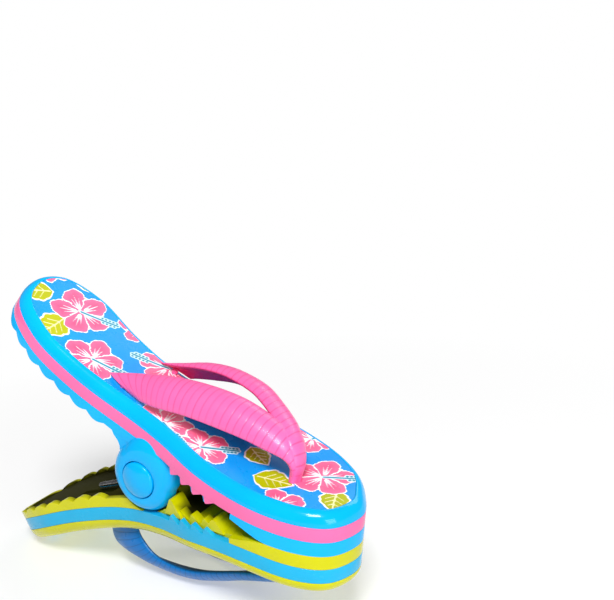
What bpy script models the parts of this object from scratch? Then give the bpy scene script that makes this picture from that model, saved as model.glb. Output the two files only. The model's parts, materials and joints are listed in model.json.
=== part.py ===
"""Flip-flop towel clip: two sandal-shaped jaws on a sprung hinge, resting on its lower heel and strap.

Each sole is designed flat and then bent along its spine. In the flat frame, in millimetres, s runs
back from the toe tip, t across the sole (the big-toe side is negative) and n out on the foot side.
The clip frame has its origin under the toe tip in the plane where the toes meet, +X to the toe.
"""

import math

import bmesh
import bpy
from mathutils import Matrix, Vector
from mathutils.geometry import interpolate_bezier

MM = 0.001
GAP = 0.2  # clearance between neighbouring pieces

# The sole, in millimetres and degrees.
SPINE_ARCS = ((20, 0.0), (25, 11.5), (20, 1.5), (25, 10.5), (40, 14.5))  # length and turn of each arc
SOLE_LENGTH = sum(length for length, turn in SPINE_ARCS)
TOE_SIDE = ((0, -8), (3.5, -16.5), (12, -20.8), (25, -21.6), (45, -19.3))
WAIST_SIDE = ((60, -15.6), (74, -14), (95, -14.8), (112, -14.4), (125, -9.8))
HEEL_SIDE = ((130, 0.5), (126, 10.6), (113, 15.8), (95, 14.4), (74, 13.2))
FAR_SIDE = ((60, 15), (42, 19.6), (24, 16.4), (9, 7.8), (2, -1))
OUTLINE = TOE_SIDE + WAIST_SIDE + HEEL_SIDE + FAR_SIDE
SPAN_STEPS = 4
BEND_STEP = 5.0
RIM_LINE = 8.1  # height of the footbed's underside above the parting plane, at the toe
RIM_CROWN = 3.8
RIM_ROUND = 2.9
RIM_WIDTH = 3.1
INSOLE_SINK = 0.1
INSOLE_THICK = 0.9
STRIPE = 4.1
FLOOR = -5.8
WALL = 2.0
PAD_LENGTH = 24.0
JAW_START, JAW_RAMP, JAW_END = 19.0, 33.0, 60.0
TEETH = (36.0, 56.0, 4.6, 1.7)  # first, last, pitch and depth
SCALLOP_START, SCALLOP_PITCH, SCALLOP_DEPTH = 80.0, 6.5, 1.2
SKIRT_TAPER = 1.4
SLOT = (84.0, 98.0, 2.6)

# The hinge, along Y, with radii and places on the axis.
HINGE_X = -66.4
PIN_RADIUS, PIN_HOLE = 1.5, 1.6
INNER_EAR = (8.6, 11.4, 8.7)  # inner face, outer face, radius
BOSS_IN, BOSS_OUT, BOSS_RADIUS = 11.8, 16.4, 10.9
BUTTON_RADIUS, BUTTON_SEAT, BUTTON_TOP = 5.4, 14.6, 18.0
RETAINER_RADIUS, RETAINER_THICK = 3.6, 0.6
SLEEVE_RADIUS = 3.7
COIL_RADIUS, WIRE_RADIUS, COIL_TURNS, COIL_PITCH = 5.5, 0.9, 5, 2.1
LEG_ANGLE, LEG_LENGTH = 26.0, 25.0

# The straps: at each station, s and n of an arm's inner and outer edges, and their distances from
# the strap's own centre line. Each arm ends in a line along the sole. The lower strap bows out further.
STRAP_THICK = 1.9
STRAP_FULL_WIDTH = 10.0
FAR_ARM_REACH = (55.0, 0.84)  # past this s, the far arm is shortened by this factor
UPPER_STRAP_BULGE, LOWER_STRAP_BULGE = 0.35, 0.18
UPPER_STRAP = (
    # centre t, thickness share, inner s, n, across, outer s, n, across
    (-7.0, 1.0, 20.6, 3.9, -0.5, 20.6, 3.9, 2.4),
    (-6.7, 1.0, 20.0, 9.0, -0.5, 20.4, 8.0, 3.2),
    (-5.6, 1.0, 22.4, 13.2, -0.5, 22.9, 10.4, 4.8),
    (-3.8, 1.0, 27.6, 15.6, -0.3, 28.6, 11.4, 7.2),
    (-1.8, 1.0, 35.5, 16.9, 0.6, 36.2, 12.0, 9.6),
    (0.2, 1.0, 45.0, 17.4, 2.4, 45.0, 11.5, 12.0),
    (1.2, 1.0, 57.0, 15.9, 4.2, 56.5, 9.6, 13.2),
    (1.2, 1.0, 69.0, 12.7, 5.4, 66.0, 6.8, 13.0),
    (1.2, 0.9, 79.5, 8.2, 6.8, 72.0, 5.0, 12.0),
    (1.2, 0.5, 87.5, 4.1, 8.8, 74.5, 4.1, 10.9),
)
LOWER_STRAP = (
    (-7.0, 1.0, 20.6, 3.9, -0.5, 20.6, 3.9, 2.4),
    (-6.7, 1.0, 20.0, 9.0, -0.5, 20.4, 8.0, 3.2),
    (-5.6, 1.0, 22.6, 12.6, -0.5, 23.0, 9.6, 4.8),
    (-3.8, 1.0, 28.3, 15.0, -0.3, 29.0, 10.6, 7.0),
    (-1.8, 1.0, 36.5, 16.8, 0.6, 37.0, 12.0, 9.4),
    (0.2, 1.0, 46.5, 19.0, 2.4, 46.0, 13.8, 11.6),
    (0.9, 1.0, 57.5, 20.2, 3.8, 54.5, 14.9, 12.4),
    (1.2, 1.0, 69.0, 18.9, 5.0, 62.5, 14.2, 12.4),
    (1.2, 1.0, 80.0, 15.2, 6.2, 68.8, 12.0, 12.0),
    (1.2, 0.9, 88.8, 10.2, 7.4, 73.0, 7.8, 11.4),
    (1.2, 0.5, 88.0, 4.1, 8.8, 74.5, 4.1, 10.9),
)
TOE_PEG = (20.4, -7.0, 1.7)  # s, t and radius
REAR_PEG = (81.0, 1.2, 9.4, 1.0)  # s, centre t, distance from it and radius

COLOURS = {
    "blue": (0.0, 0.50, 0.90),
    "blue_insole": (0.02, 0.30, 0.80),
    "pink": (1.0, 0.22, 0.48),
    "pink_strap": (1.0, 0.12, 0.40),
    "yellow": (0.62, 0.66, 0.0),
    "yellow_insole": (0.55, 0.60, 0.0),
    "sky": (0.08, 0.55, 0.85),
    "blue_strap": (0.0, 0.25, 0.70),
    "steel": (0.62, 0.63, 0.65),
    "grey": (0.35, 0.36, 0.38),
}


def clear_scene():
    for obj in list(bpy.data.objects):
        bpy.data.objects.remove(obj, do_unlink=True)


def collection(name):
    made = bpy.data.collections.new(name)
    bpy.context.scene.collection.children.link(made)
    return made


def material(name, colour, roughness=0.25, metallic=0.0):
    made = bpy.data.materials.new(name)
    made.use_nodes = True
    made.diffuse_color = (*COLOURS[colour], 1.0)
    shader = made.node_tree.nodes["Principled BSDF"]
    shader.inputs["Base Color"].default_value = (*COLOURS[colour], 1.0)
    shader.inputs["Roughness"].default_value = roughness
    shader.inputs["Metallic"].default_value = metallic
    return made


# --- the flat frame and its bend -----------------------------------------------------------------


def spine(s):
    """Where arc length s lies on the bent rim line (x, z) and the slope there."""
    x, z, slope = 0.0, 0.0, 0.0
    for i, (length, turn) in enumerate(SPINE_ARCS):
        last = i == len(SPINE_ARCS) - 1
        run = s if last else min(s, length)
        turned = math.radians(turn) * run / length
        chord = run if abs(turned) < 1e-9 else 2 * run / turned * math.sin(turned / 2)
        x -= chord * math.cos(slope + turned / 2)
        z += chord * math.sin(slope + turned / 2)
        slope += turned
        s -= run
        if s <= 0:
            break
    return x, z, slope


def bent(point):
    """A point of the flat frame in the clip frame, on the upper sole."""
    s, t, n = point
    x, z, slope = spine(s)
    return Vector((x + n * math.sin(slope), t, RIM_LINE + z + n * math.cos(slope)))


def outline(inset=0.0):
    """The sole's outline as (s, t) points, moved inwards."""
    knots = [Vector(point) for point in OUTLINE]
    points = []
    for i, knot in enumerate(knots):
        before, after, beyond = knots[i - 1], knots[(i + 1) % len(knots)], knots[(i + 2) % len(knots)]
        handle_out = knot + (after - before) / 6
        handle_in = after - (beyond - knot) / 6
        points += interpolate_bezier(knot, handle_out, handle_in, after, SPAN_STEPS + 1)[:-1]
    moved = []
    for i, point in enumerate(points):
        along = (points[(i + 1) % len(points)] - points[i - 1]).normalized()
        moved.append((point.x - along.y * inset, point.y + along.x * inset))
    return moved


# --- flat solids ---------------------------------------------------------------------------------


def mesh_object(name, bm, where):
    bm.normal_update()
    bmesh.ops.recalc_face_normals(bm, faces=bm.faces)
    mesh = bpy.data.meshes.new(name)
    bm.to_mesh(mesh)
    bm.free()
    obj = bpy.data.objects.new(name, mesh)
    where.objects.link(obj)
    return obj


def prism(points, low, high, axis="Z"):
    """A bmesh prism on a closed outline. Axis Z takes (s, t) points, and axis Y takes (s, n) points."""
    bm = bmesh.new()
    if axis == "Z":
        base = [bm.verts.new((a, b, low)) for a, b in points]
        push = Vector((0, 0, high - low))
    else:
        base = [bm.verts.new((a, low, b)) for a, b in points]
        push = Vector((0, high - low, 0))
    face = bm.faces.new(base)
    raised = bmesh.ops.extrude_face_region(bm, geom=[face])
    verts = [item for item in raised["geom"] if isinstance(item, bmesh.types.BMVert)]
    bmesh.ops.translate(bm, vec=push, verts=verts)
    return bm


def slab(inset, low, high):
    return prism(outline(inset), low, high)


def keep_between(bm, first, last):
    """Cuts away what lies outside this stretch of s."""
    for place, side in ((first, -1), (last, 1)):
        geometry = bm.verts[:] + bm.edges[:] + bm.faces[:]
        cut = bmesh.ops.bisect_plane(
            bm, geom=geometry, plane_co=(place, 0, 0), plane_no=(side, 0, 0), clear_outer=True
        )
        edges = [item for item in cut["geom_cut"] if isinstance(item, bmesh.types.BMEdge)]
        bmesh.ops.holes_fill(bm, edges=edges)
    return bm


def post(s, t, radius, low, high, segments=20):
    bm = bmesh.new()
    place = Matrix.Translation((s, t, (low + high) / 2))
    bmesh.ops.create_cone(
        bm, cap_ends=True, segments=segments, radius1=radius, radius2=radius,
        depth=high - low, matrix=place,
    )
    return bm


def combine(obj, operation, other):
    """Adds a Boolean with a helper solid, which stays hidden among the cutters."""
    other.hide_render = True
    other.display_type = "WIRE"
    modifier = obj.modifiers.new(operation.title(), "BOOLEAN")
    modifier.operation = operation
    modifier.solver = "EXACT"
    modifier.object = other


def settle(obj):
    """Applies an object's modifiers."""
    graph = bpy.context.evaluated_depsgraph_get()
    mesh = bpy.data.meshes.new_from_object(obj.evaluated_get(graph))
    obj.modifiers.clear()
    old = obj.data
    obj.data = mesh
    mesh.name = obj.name
    bpy.data.meshes.remove(old)


def bend(obj, half):
    """Slices a flat solid across, bends it along the spine and turns it to its side of the clip."""
    bm = bmesh.new()
    bm.from_mesh(obj.data)
    ends = [vert.co.x for vert in bm.verts]
    for i in range(1, int(SOLE_LENGTH / BEND_STEP)):
        if min(ends) < i * BEND_STEP < max(ends):
            geometry = bm.verts[:] + bm.edges[:] + bm.faces[:]
            bmesh.ops.bisect_plane(
                bm, geom=geometry, plane_co=(i * BEND_STEP, 0, 0), plane_no=(1, 0, 0), dist=1e-4
            )
    bmesh.ops.remove_doubles(bm, verts=bm.verts, dist=0.01)
    bmesh.ops.triangulate(bm, faces=bm.faces)
    for vert in bm.verts:
        vert.co = bent(vert.co)
        vert.co.z *= half
    bm.normal_update()
    bmesh.ops.recalc_face_normals(bm, faces=bm.faces)
    bm.to_mesh(obj.data)
    bm.free()


# --- the pieces of one half ----------------------------------------------------------------------

UPPER, LOWER = 1, -1


def peg_places():
    s, centre, across, radius = REAR_PEG
    yield TOE_PEG
    yield s, centre - across, radius
    yield far_arm_place(s), centre + across, radius


def drill_for_pegs(obj, low, high):
    for i, (s, t, radius) in enumerate(peg_places()):
        hole = mesh_object(f"{obj.name}_peg_hole_{i}", post(s, t, radius + 0.3, low, high), cutters)
        combine(obj, "DIFFERENCE", hole)


def footbed(name, half):
    """The top layer: a rounded rim round a shallow recess for the insole."""
    bm = slab(0.0, GAP / 2, RIM_CROWN)
    top = max(bm.faces, key=lambda face: face.calc_center_median().z)
    bmesh.ops.bevel(
        bm, geom=top.edges[:] + top.verts[:], offset=RIM_ROUND, segments=4, profile=0.5,
        affect="EDGES", offset_type="OFFSET",
    )
    bm.faces.ensure_lookup_table()
    top = max(bm.faces, key=lambda face: face.calc_center_median().z)
    bmesh.ops.inset_region(bm, faces=[top], thickness=RIM_WIDTH - RIM_ROUND, depth=-INSOLE_SINK / 2)
    deep = INSOLE_THICK + INSOLE_SINK / 2 + GAP
    bmesh.ops.inset_region(bm, faces=[top], thickness=0.05, depth=-deep)
    obj = mesh_object(name, bm, parts)
    drill_for_pegs(obj, -3, 6)
    settle(obj)
    bend(obj, half)
    return obj


def insole(name, half):
    """The printed sheet let into the footbed."""
    top = RIM_CROWN - INSOLE_SINK
    obj = mesh_object(name, slab(RIM_WIDTH + 0.2, top - INSOLE_THICK, top), parts)
    drill_for_pegs(obj, -3, 6)
    settle(obj)
    bend(obj, half)
    return obj


def tooth_row(first, last, pitch, root, tip):
    """Sawtooth prisms across the whole sole, leaning back."""
    bm = bmesh.new()
    count = int((last - first) / pitch)
    for i in range(count):
        s = first + i * pitch
        points = ((s, root), (s + pitch * 0.96, root), (s + pitch * 0.7, tip))
        tooth = prism(points, -30, 30, axis="Y")
        mesh = bpy.data.meshes.new("tooth")
        tooth.to_mesh(mesh)
        tooth.free()
        bm.from_mesh(mesh)
        bpy.data.meshes.remove(mesh)
    return bm


def edge_band(name, outer, inner, first, last, low, high):
    """A band that follows the sole's edge over a stretch of s."""
    band = mesh_object(name, keep_between(slab(outer, low, high), first, last), cutters)
    combine(band, "DIFFERENCE", mesh_object(name + "_core", slab(inner, low - 1, high + 1), cutters))
    settle(band)
    return band


def edge_teeth(name, outer, inner, shift, root, tip):
    first, last, pitch, depth = TEETH
    row = mesh_object(name, tooth_row(first + shift, last + shift, pitch, root, tip), cutters)
    combine(row, "INTERSECT", edge_band(name + "_band", outer, inner, 30, 62, tip - 1, root + 1))
    settle(row)
    return row


def midsole(name, half):
    """The stripe: a flat layer whose edge carries the jaw's teeth."""
    obj = mesh_object(name, slab(0.0, -STRIPE + GAP / 2, -GAP / 2), parts)
    teeth = edge_teeth(name + "_teeth", 0.05, 1.5, 0.0, -STRIPE + 0.5, -STRIPE - TEETH[3])
    combine(obj, "UNION", teeth)
    drill_for_pegs(obj, -2.6, 1)
    settle(obj)
    bend(obj, half)
    return obj


def lower_edge():
    """The (s, n) line that the body's walls end on: toe pad, open jaw, neck and scalloped handle."""
    deep, open_edge = -RIM_LINE + GAP / 2, FLOOR + 0.25
    points = [(-6, deep)]
    for i in range(9):
        share = i / 8
        rise = share * share * (3 - 2 * share)
        points.append((JAW_START + share * (JAW_RAMP - JAW_START), deep + rise * (open_edge - deep)))
    points += [(JAW_END - 3, open_edge), (JAW_END, deep)]
    steps = 6
    count = round((SOLE_LENGTH - SCALLOP_START) / SCALLOP_PITCH * steps)
    for i in range(count + 2):
        s = SCALLOP_START + i * SCALLOP_PITCH / steps
        scallop = SCALLOP_DEPTH * (1 - abs(math.sin(math.pi * i / steps)))
        taper = SKIRT_TAPER * (s - SCALLOP_START) / (SOLE_LENGTH - SCALLOP_START)
        points.append((s, deep + scallop + taper))
    points.append((SOLE_LENGTH + 6, deep + SKIRT_TAPER))
    return points


def body_shell(name, half):
    """The base layer: toe pad, thin floor, ridges and teeth in the jaw, and a hollow walled handle."""
    obj = mesh_object(name, slab(0.0, -RIM_LINE - 3, -STRIPE - GAP / 2), parts)
    under = [(SOLE_LENGTH + 6, -20), (-6, -20)] + lower_edge()
    combine(obj, "DIFFERENCE", mesh_object(name + "_under", prism(under, -30, 30, axis="Y"), cutters))
    hollow = mesh_object(name + "_hollow", slab(WALL, -20, FLOOR), cutters)
    combine(hollow, "DIFFERENCE", mesh_object(name + "_pad", post(0, -3, PAD_LENGTH, -21, 0, 48), cutters))
    settle(hollow)
    combine(obj, "DIFFERENCE", hollow)
    relief = edge_band(name + "_relief", -2, 1.8, 31, 62, -12, -STRIPE + 1)
    combine(obj, "DIFFERENCE", relief)
    teeth = edge_teeth(name + "_teeth", 1.85, 4.5, 1.6, FLOOR + 0.6, FLOOR - 1.5)
    combine(obj, "UNION", teeth)
    for i, (start, peak, height) in enumerate(((30.5, 33.5, 2.8), (36.0, 38.2, 1.6))):
        points = (
            (start, FLOOR + 0.6), (start + 0.8, FLOOR - height),
            (peak, FLOOR - height * 0.8), (peak + 2.2, FLOOR + 0.6),
        )
        ridge = mesh_object(f"{name}_ridge_{i}", prism(points, -14.5 + i, 11.5 - i, axis="Y"), cutters)
        combine(obj, "UNION", ridge)
    wall = ((55.0, FLOOR + 0.6), (57.2, FLOOR - 3.6), (58.6, FLOOR - 3.6), (59.4, FLOOR + 0.6))
    combine(obj, "UNION", mesh_object(name + "_cross_wall", prism(wall, -8.2, 8.2, axis="Y"), cutters))
    first, last, width = SLOT
    side = half * COIL_RADIUS
    low, high = side - width / 2, side + width / 2
    slot = prism(((first, low), (last, low), (last, high), (first, high)), -9, 0)
    combine(obj, "DIFFERENCE", mesh_object(name + "_slot", slot, cutters))
    settle(obj)
    bend(obj, half)
    return obj


# --- the hinge, in the clip frame ----------------------------------------------------------------


def turned(name, profile, where, segments=36, side=1):
    """A solid turned about the hinge axis from a closed (radius, y) profile."""
    bm = bmesh.new()
    ring = [bm.verts.new((radius, side * y, 0)) for radius, y in profile]
    pairs = [ends for ends in zip(ring[-1:] + ring, ring) if max(end.co.x for end in ends) > 1e-6]
    edges = [bm.edges.new(ends) for ends in pairs]
    bmesh.ops.spin(
        bm, geom=ring + edges, cent=(0, 0, 0), axis=(0, 1, 0), angle=2 * math.pi,
        steps=segments, use_merge=True,
    )
    bmesh.ops.remove_doubles(bm, verts=bm.verts, dist=1e-4)
    bmesh.ops.translate(bm, vec=(HINGE_X, 0, 0), verts=bm.verts)
    return mesh_object(name, bm, where)


def arc(centre, radii, start, end, steps):
    points = []
    for i in range(steps + 1):
        angle = math.radians(start + (end - start) * i / steps)
        points.append((centre[0] + radii[0] * math.cos(angle), centre[1] + radii[1] * math.sin(angle)))
    return points


def web(name, half, span, first, last, foot):
    """The prism that joins an ear to its own sole, flaring out behind to the handle's wall."""
    roots = [bent((first + (last - first) * i / 6, 0, FLOOR + 0.9)) for i in range(7)]
    flare = bent((last - 3, 0, -RIM_LINE))
    points = [(point.x, point.z) for point in roots + [flare]]
    points += [(HINGE_X - foot, 5), (HINGE_X - foot, 2), (HINGE_X + foot, 2), (HINGE_X + foot, 5)]
    points = [(x, half * z) for x, z in points]
    return mesh_object(name, prism(points, *sorted(span), axis="Y"), cutters)


def add_ear(body, name, profile, half, side, span, first, last, foot, clear):
    """Joins an ear to a body: the turned profile, and a web with room for what the ear holds."""
    ear = turned(name, profile, cutters, side=side)
    joint = web(name + "_web", half, (side * (span[0] + 0.05), side * span[1]), first, last, foot)
    bore = turned(name + "_bore", [(0, 0), (clear, 0), (clear, 40), (0, 40)], cutters, side=side)
    combine(joint, "DIFFERENCE", bore)
    settle(joint)
    combine(ear, "UNION", joint)
    settle(ear)
    combine(body, "UNION", ear)


def add_bosses(body):
    """The upper half's outer ears: domed bosses with a seat for the button."""
    low, high, radius = BOSS_IN, BOSS_OUT, BOSS_RADIUS
    seat = BUTTON_RADIUS + 0.3
    dome = arc((6.8, 12.3), (radius - 6.8, high - 12.3), 0, 90, 6)
    profile = [(PIN_HOLE, low), (radius, low), *dome, (seat, high - 0.25), (seat, BUTTON_SEAT - 0.2)]
    profile.append((PIN_HOLE, BUTTON_SEAT - 0.2))
    for side in (-1, 1):
        add_ear(body, f"boss_{side}", profile, UPPER, side, (low, 13.9), 60.5, 79, 8.8, seat)
    settle(body)


def add_inner_ears(body):
    """The lower half's ears, inside the bosses, and the reliefs that the bosses turn in."""
    low, high, radius = INNER_EAR
    profile = [(PIN_HOLE, low), (radius, low), (radius, high), (PIN_HOLE, high)]
    near, clear = BOSS_IN - 0.25, BOSS_RADIUS + 0.35
    for side in (-1, 1):
        reach = [(0, near), (clear, near), (clear, 40), (0, 40)]
        combine(body, "DIFFERENCE", turned(f"boss_relief_{side}", reach, cutters, side=side))
        settle(body)
        add_ear(body, f"ear_{side}", profile, LOWER, side, (low, high - 0.05), 60, 77, 8.4, 4.0)
        settle(body)


def button(name, side):
    """A domed cap over the end of the pin, hollow underneath for the pin and its retainer."""
    shoulder, hollow = BUTTON_TOP - 1.7, RETAINER_RADIUS + 0.3
    ceiling = BUTTON_SEAT + RETAINER_THICK + 0.9
    dome = arc((0, shoulder), (BUTTON_RADIUS, BUTTON_TOP - shoulder), 0, 90, 5)
    profile = [(hollow, BUTTON_SEAT), (BUTTON_RADIUS, BUTTON_SEAT), *dome, (0, ceiling)]
    return turned(name, profile + [(hollow, ceiling)], parts, side=side)


def retainer(name, side):
    """The push-on ring that keeps the pin in the ears."""
    low, high = BUTTON_SEAT, BUTTON_SEAT + RETAINER_THICK
    inner, outer = PIN_RADIUS + 0.1, RETAINER_RADIUS
    profile = [(inner, low), (outer, low), (outer, high), (inner, high)]
    return turned(name, profile, parts, segments=24, side=side)


def pin(name):
    end = BUTTON_SEAT + RETAINER_THICK + 0.6
    bm = bmesh.new()
    place = Matrix.Translation((HINGE_X, 0, 0)) @ Matrix.Rotation(math.pi / 2, 4, "X")
    bmesh.ops.create_cone(
        bm, cap_ends=True, segments=24, radius1=PIN_RADIUS, radius2=PIN_RADIUS, depth=2 * end, matrix=place
    )
    return mesh_object(name, bm, parts)


def sleeve(name):
    low, high = 0.3 - INNER_EAR[0], INNER_EAR[0] - 0.3
    profile = [(PIN_HOLE, low), (SLEEVE_RADIUS, low), (SLEEVE_RADIUS, high), (PIN_HOLE, high)]
    return turned(name, profile, parts, segments=24)


def spring_path():
    """The wire's centre line: a leg along the lower handle, the coil, and a leg along the upper one."""
    lean = math.radians(LEG_ANGLE)
    start = 1.5 * math.pi - lean
    sweep = 2 * math.pi * COIL_TURNS - (math.pi - 2 * lean)
    count = 14 * COIL_TURNS
    width = COIL_PITCH * sweep / (2 * math.pi)
    points = []
    for i in range(count + 1):
        angle = start + sweep * i / count
        y = -width / 2 + width * i / count
        points.append(Vector((HINGE_X + COIL_RADIUS * math.cos(angle), y, COIL_RADIUS * math.sin(angle))))
    rear = Vector((-math.cos(lean), 0, -math.sin(lean))) * LEG_LENGTH
    points.insert(0, points[0] + rear)
    points.append(points[-1] + Vector((rear.x, 0, -rear.z)))
    return points


def spring(name):
    curve = bpy.data.curves.new(name, "CURVE")
    curve.dimensions = "3D"
    curve.bevel_depth = WIRE_RADIUS
    curve.bevel_resolution = 1
    curve.use_fill_caps = True
    points = spring_path()
    line = curve.splines.new("POLY")
    line.points.add(len(points) - 1)
    for knot, point in zip(line.points, points):
        knot.co = (*point, 1)
    obj = bpy.data.objects.new(name, curve)
    parts.objects.link(obj)
    settle_curve(obj)
    return bpy.data.objects[name]


def settle_curve(obj):
    name = obj.name
    graph = bpy.context.evaluated_depsgraph_get()
    mesh = bpy.data.meshes.new_from_object(obj.evaluated_get(graph))
    bpy.data.objects.remove(obj, do_unlink=True)
    bm = bmesh.new()
    bm.from_mesh(mesh)
    bmesh.ops.remove_doubles(bm, verts=bm.verts, dist=1e-4)
    bpy.data.meshes.remove(mesh)
    mesh_object(name, bm, parts)


# --- the strap -----------------------------------------------------------------------------------


def far_arm_place(s):
    """Where the far arm has what the near arm has at s."""
    start, reach = FAR_ARM_REACH
    return start + (s - start) * reach if s > start else s


def strap_section(station, side):
    """An arm's inner and outer edges and its thickness share at one station."""
    centre, share, s_in, n_in, t_in, s_out, n_out, t_out = station
    if side > 0:
        s_in, s_out = far_arm_place(s_in), far_arm_place(s_out)
    return bent((s_in, centre + side * t_in, n_in)), bent((s_out, centre + side * t_out, n_out)), share


def strap_arm(name, side, stations, bulge):
    ends = [strap_section(station, side) for station in stations]
    middles = [(inner + outer) / 2 for inner, outer, fullness in ends]
    bm = bmesh.new()
    rings = []
    for i, (inner, outer, fullness) in enumerate(ends):
        chord = outer - inner
        along = (middles[min(i + 1, len(ends) - 1)] - middles[max(i - 1, 0)]).normalized()
        normal = -side * along.cross(chord).normalized()
        arch = bulge * min(1.0, chord.length / STRAP_FULL_WIDTH) * fullness**2
        top, bottom = [], []
        for k in range(5):
            share = k / 4
            rise = 4 * share * (1 - share) * arch * chord.length
            tilt = (share - 0.5) * 3.2 * arch
            lean = (normal + tilt * chord.normalized()).normalized()
            place = inner + chord * share + normal * rise
            thick = STRAP_THICK * fullness * (0.7 if k in (0, 4) else 1.0)
            top.append(bm.verts.new(place + lean * thick / 2))
            bottom.append(bm.verts.new(place - lean * thick / 2))
        rings.append(top + bottom[::-1])
    for first, second in zip(rings, rings[1:]):
        for k in range(len(first)):
            j = (k + 1) % len(first)
            bm.faces.new((first[k], first[j], second[j], second[k]))
    bm.faces.new(rings[0])
    bm.faces.new(rings[-1])
    bmesh.ops.triangulate(bm, faces=bm.faces)
    return mesh_object(name, bm, cutters)


def strap(name, half):
    """The Y-shaped strap: two arms joined over the toe, with a peg under each end."""
    upper, lower = (UPPER_STRAP, UPPER_STRAP_BULGE), (LOWER_STRAP, LOWER_STRAP_BULGE)
    stations, bulge = upper if half == UPPER else lower
    obj = strap_arm(name, -1, stations, bulge)
    cutters.objects.unlink(obj)
    parts.objects.link(obj)
    combine(obj, "UNION", strap_arm(name + "_far_arm", 1, stations, bulge))
    for i, (s, t, radius) in enumerate(peg_places()):
        bm = post(s, t, radius, -2.2, 4.9)
        for vert in bm.verts:
            vert.co = bent(vert.co)
        combine(obj, "UNION", mesh_object(f"{name}_peg_{i}", bm, cutters))
    settle(obj)
    if half == LOWER:
        for vert in obj.data.vertices:
            vert.co.z *= -1
        obj.data.flip_normals()
    return obj


# --- assembly ------------------------------------------------------------------------------------


def hang(obj, parent, colour, roughness=0.25, metallic=0.0):
    """Takes a piece built in clip millimetres to metres about its parent's origin."""
    origin = parent["clip_origin"]
    obj.data.transform(Matrix.Scale(MM, 4) @ Matrix.Translation([-value for value in origin]))
    obj.parent = parent
    obj.data.materials.clear()
    obj.data.materials.append(material(obj.name, colour, roughness, metallic))


def empty(name, parent, clip_origin):
    obj = bpy.data.objects.new(name, None)
    parts.objects.link(obj)
    obj["clip_origin"] = clip_origin
    obj.empty_display_size = 0.02
    if parent:
        obj.parent = parent
        obj.location = Vector(clip_origin) * MM
    return obj


def build_half(half, root, colours):
    side = "upper" if half == UPPER else "lower"
    rim, print_ground, stripe, strap_colour = colours
    body = body_shell(side + "_body", half)
    if half == UPPER:
        add_bosses(body)
    else:
        add_inner_ears(body)
    hang(body, root, rim)
    hang(midsole(side + "_midsole", half), root, stripe)
    hang(footbed(side + "_footbed", half), root, rim, 0.15)
    hang(insole(side + "_insole", half), root, print_ground, 0.3)
    hang(strap(side + "_strap", half), root, strap_colour, 0.3)


def set_down(clip):
    """Tilts the clip until its lower heel and strap stand on the same plane, and puts that at z = 0."""
    strap_points = [vert.co for vert in bpy.data.objects["lower_strap"].data.vertices]
    sole_points = [vert.co for vert in bpy.data.objects["lower_footbed"].data.vertices]
    low, high = 0.0, math.radians(30)
    for _ in range(40):
        angle = (low + high) / 2
        turn = Matrix.Rotation(angle, 3, "Y")
        if min((turn @ point).z for point in sole_points) < min((turn @ point).z for point in strap_points):
            low = angle
        else:
            high = angle
    clip.rotation_euler = (0, low, 0)
    bpy.context.view_layer.update()
    pieces = [obj for obj in parts.objects if obj.type == "MESH"]
    every = [obj.matrix_world @ vert.co for obj in pieces for vert in obj.data.vertices]
    ends = [(min(point[i] for point in every), max(point[i] for point in every)) for i in range(3)]
    clip.location = (-sum(ends[0]) / 2, -sum(ends[1]) / 2, -ends[2][0])


clear_scene()
parts = collection("flip_flop_towel_clip")
cutters = collection("cutters")
cutters.hide_render = True

clip = empty("clip_frame", None, (0.0, 0.0, 0.0))
hinge = empty("hinge_axis", clip, (HINGE_X, 0.0, 0.0))
build_half(LOWER, clip, ("yellow", "yellow_insole", "sky", "blue_strap"))
build_half(UPPER, hinge, ("blue", "blue_insole", "pink", "pink_strap"))
hang(pin("hinge_pin"), hinge, "steel", 0.3, 1.0)
hang(sleeve("spring_sleeve"), clip, "grey", 0.5)
hang(spring("torsion_spring"), clip, "steel", 0.3, 1.0)
for side, place in ((-1, "near"), (1, "far")):
    hang(retainer(place + "_pin_retainer", side), hinge, "steel", 0.3, 1.0)
    hang(button(place + "_button", side), hinge, "blue", 0.15)
set_down(clip)
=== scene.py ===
"""Looks for the flip-flop towel clip: smooth high-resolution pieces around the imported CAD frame.

As in the CAD source, each sole is built flat and then bent along its spine. In the flat frame, in
millimetres, s runs back from the toe tip, t across the sole and n out on the foot side. The clip
frame has its origin under the toe tip in the plane where the toes meet, +X to the toe.
"""

import json
import math

import bmesh
import bpy
import numpy as np
from mathutils import Matrix, Vector
from mathutils.geometry import interpolate_bezier


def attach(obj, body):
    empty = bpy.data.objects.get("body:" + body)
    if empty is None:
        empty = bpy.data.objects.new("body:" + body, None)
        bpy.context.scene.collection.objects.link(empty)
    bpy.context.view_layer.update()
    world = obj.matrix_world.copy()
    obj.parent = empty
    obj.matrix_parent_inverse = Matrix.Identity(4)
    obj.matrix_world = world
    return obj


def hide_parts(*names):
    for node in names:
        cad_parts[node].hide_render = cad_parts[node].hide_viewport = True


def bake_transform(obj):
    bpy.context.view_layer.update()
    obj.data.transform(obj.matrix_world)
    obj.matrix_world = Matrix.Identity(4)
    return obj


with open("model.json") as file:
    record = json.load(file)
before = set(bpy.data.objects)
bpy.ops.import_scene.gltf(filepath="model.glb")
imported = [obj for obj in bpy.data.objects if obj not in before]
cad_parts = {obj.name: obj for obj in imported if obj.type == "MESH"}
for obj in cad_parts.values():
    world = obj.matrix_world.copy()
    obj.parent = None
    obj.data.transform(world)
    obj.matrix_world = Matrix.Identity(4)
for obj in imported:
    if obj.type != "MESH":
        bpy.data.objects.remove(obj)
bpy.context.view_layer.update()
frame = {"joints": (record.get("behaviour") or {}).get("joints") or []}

# --- shapes shared with the CAD, in millimetres and degrees ---
TILT = 0.16722858  # how far the clip leans on its lower heel and strap, in radians
SPINE_ARCS = ((20, 0.0), (25, 11.5), (20, 1.5), (25, 10.5), (40, 14.5))  # length and turn of each arc
SOLE_LENGTH = 130
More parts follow.
